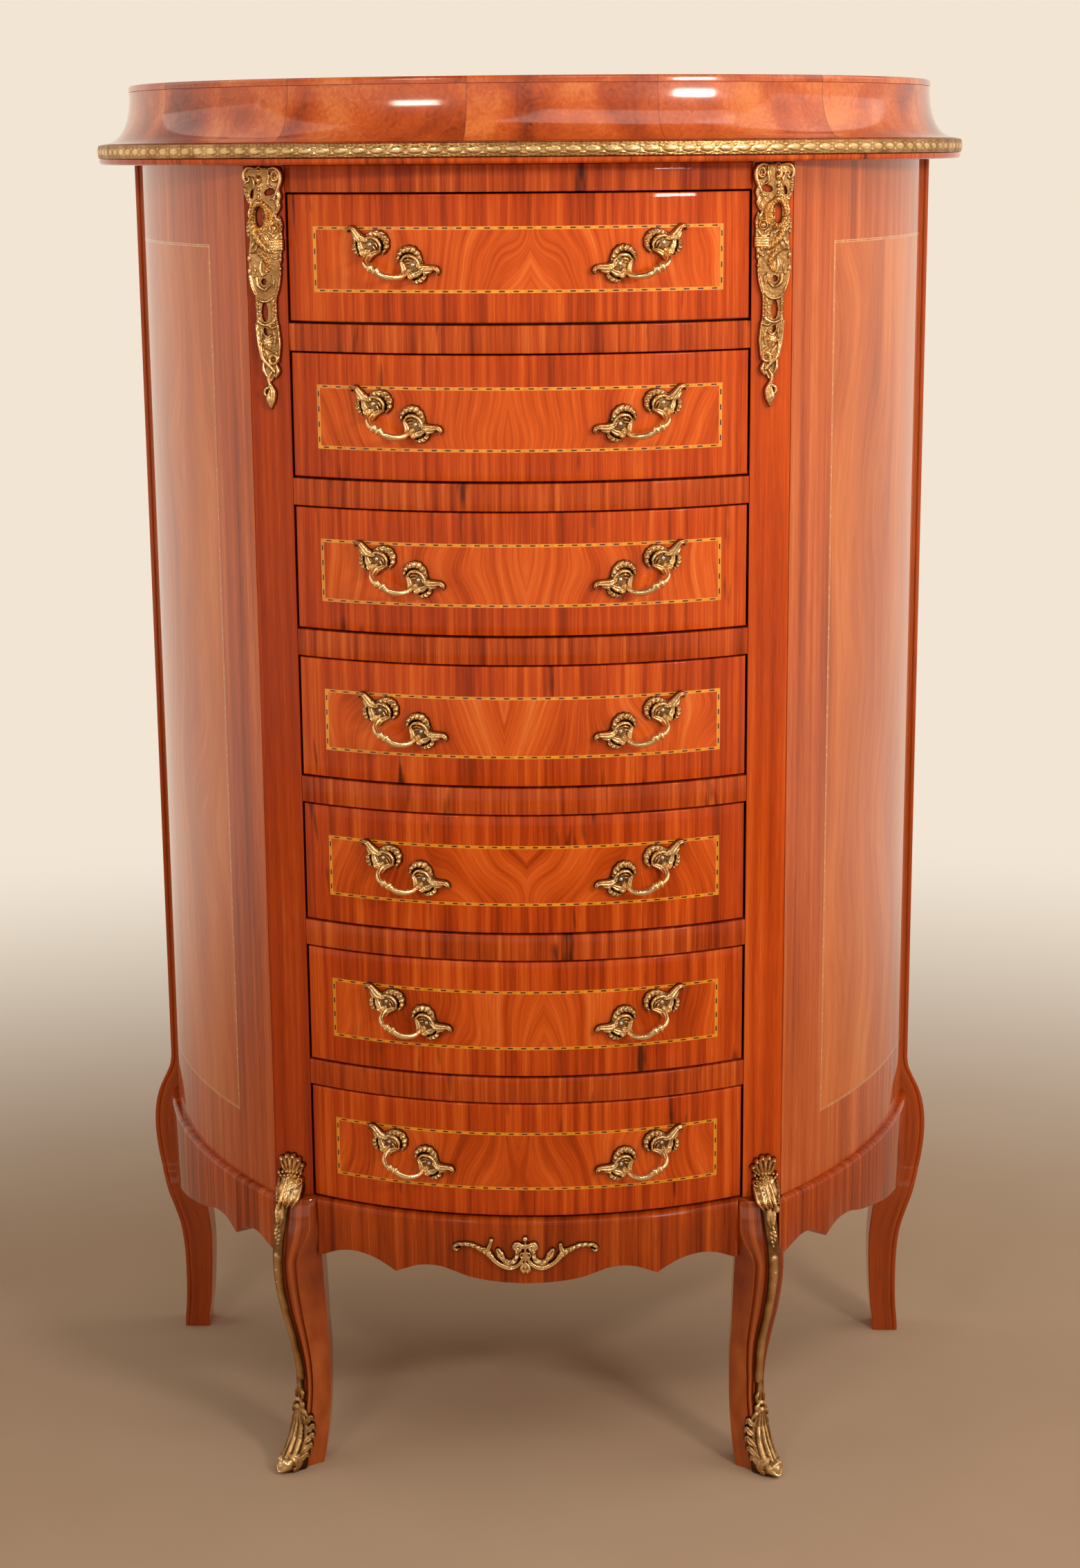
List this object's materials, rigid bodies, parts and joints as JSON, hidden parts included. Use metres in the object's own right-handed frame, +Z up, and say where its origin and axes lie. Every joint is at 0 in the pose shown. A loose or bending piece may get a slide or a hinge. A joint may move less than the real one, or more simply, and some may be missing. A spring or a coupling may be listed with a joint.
{
  "type": "demilune chest of drawers",
  "caption": "Tall half-round chest with stacked bow-front drawers, coved top, shaped aprons and cabriole legs with cast brass mounts.",
  "frame": {"origin": "on the floor, under the middle of the chest's bounding box", "axes": "+X to the right of a person facing the drawers, +Y from the drawers towards the flat back, +Z up"},
  "size_m": [0.806, 0.394, 1.25],
  "materials": {
    "front_veneer": "glossy varnished veneer with stringing",
    "case_veneer": "glossy varnished veneer",
    "side_veneer": "glossy varnished veneer with an inlaid line",
    "burr_veneer": "glossy varnished burr veneer",
    "leg_wood": "satin polished",
    "drawer_lining": "plain planed softwood",
    "carcase_wood": "plain planed softwood",
    "brass": "aged cast brass"
  },
  "bodies": {
    "case": {"apron_front": "case_veneer", "apron_mount": "brass", "apron_side_left": "case_veneer", "apron_side_right": "case_veneer", "back_panel": "carcase_wood", "bottom_board": "carcase_wood", "corner_mount_left": "brass", "corner_mount_right": "brass", "corner_post_left": "case_veneer", "corner_post_right": "case_veneer", "divider_1": "case_veneer", "divider_2": "case_veneer", "divider_3": "case_veneer", "divider_4": "case_veneer", "divider_5": "case_veneer", "divider_6": "case_veneer", "frieze_rail": "case_veneer", "leg_back_left": "leg_wood", "leg_back_right": "leg_wood", "leg_front_left": "leg_wood", "leg_front_right": "leg_wood", "leg_mount_left": "brass", "leg_mount_right": "brass", "sabot_left": "brass", "sabot_right": "brass", "side_panel_left": "side_veneer", "side_panel_right": "side_veneer", "top_base_board": "case_veneer", "top_brass_band": "brass", "top_cove": "burr_veneer", "top_panel": "burr_veneer"},
    "drawer_1": {"drawer_1_box": "drawer_lining", "drawer_1_front": "front_veneer", "drawer_1_pull_left": "brass", "drawer_1_pull_right": "brass"},
    "drawer_2": {"drawer_2_box": "drawer_lining", "drawer_2_front": "front_veneer", "drawer_2_pull_left": "brass", "drawer_2_pull_right": "brass"},
    "drawer_3": {"drawer_3_box": "drawer_lining", "drawer_3_front": "front_veneer", "drawer_3_pull_left": "brass", "drawer_3_pull_right": "brass"},
    "drawer_4": {"drawer_4_box": "drawer_lining", "drawer_4_front": "front_veneer", "drawer_4_pull_left": "brass", "drawer_4_pull_right": "brass"},
    "drawer_5": {"drawer_5_box": "drawer_lining", "drawer_5_front": "front_veneer", "drawer_5_pull_left": "brass", "drawer_5_pull_right": "brass"},
    "drawer_6": {"drawer_6_box": "drawer_lining", "drawer_6_front": "front_veneer", "drawer_6_pull_left": "brass", "drawer_6_pull_right": "brass"},
    "drawer_7": {"drawer_7_box": "drawer_lining", "drawer_7_front": "front_veneer", "drawer_7_pull_left": "brass", "drawer_7_pull_right": "brass"}
  },
  "joints": [
    {"name": "drawer_1_slide", "type": "slide", "parent": "case", "child": "drawer_1", "axis": [0, -1, 0], "range_m": [0, 0.24]},
    {"name": "drawer_2_slide", "type": "slide", "parent": "case", "child": "drawer_2", "axis": [0, -1, 0], "range_m": [0, 0.24]},
    {"name": "drawer_3_slide", "type": "slide", "parent": "case", "child": "drawer_3", "axis": [0, -1, 0], "range_m": [0, 0.24]},
    {"name": "drawer_4_slide", "type": "slide", "parent": "case", "child": "drawer_4", "axis": [0, -1, 0], "range_m": [0, 0.24]},
    {"name": "drawer_5_slide", "type": "slide", "parent": "case", "child": "drawer_5", "axis": [0, -1, 0], "range_m": [0, 0.24]},
    {"name": "drawer_6_slide", "type": "slide", "parent": "case", "child": "drawer_6", "axis": [0, -1, 0], "range_m": [0, 0.24]},
    {"name": "drawer_7_slide", "type": "slide", "parent": "case", "child": "drawer_7", "axis": [0, -1, 0], "range_m": [0, 0.24]}
  ]
}
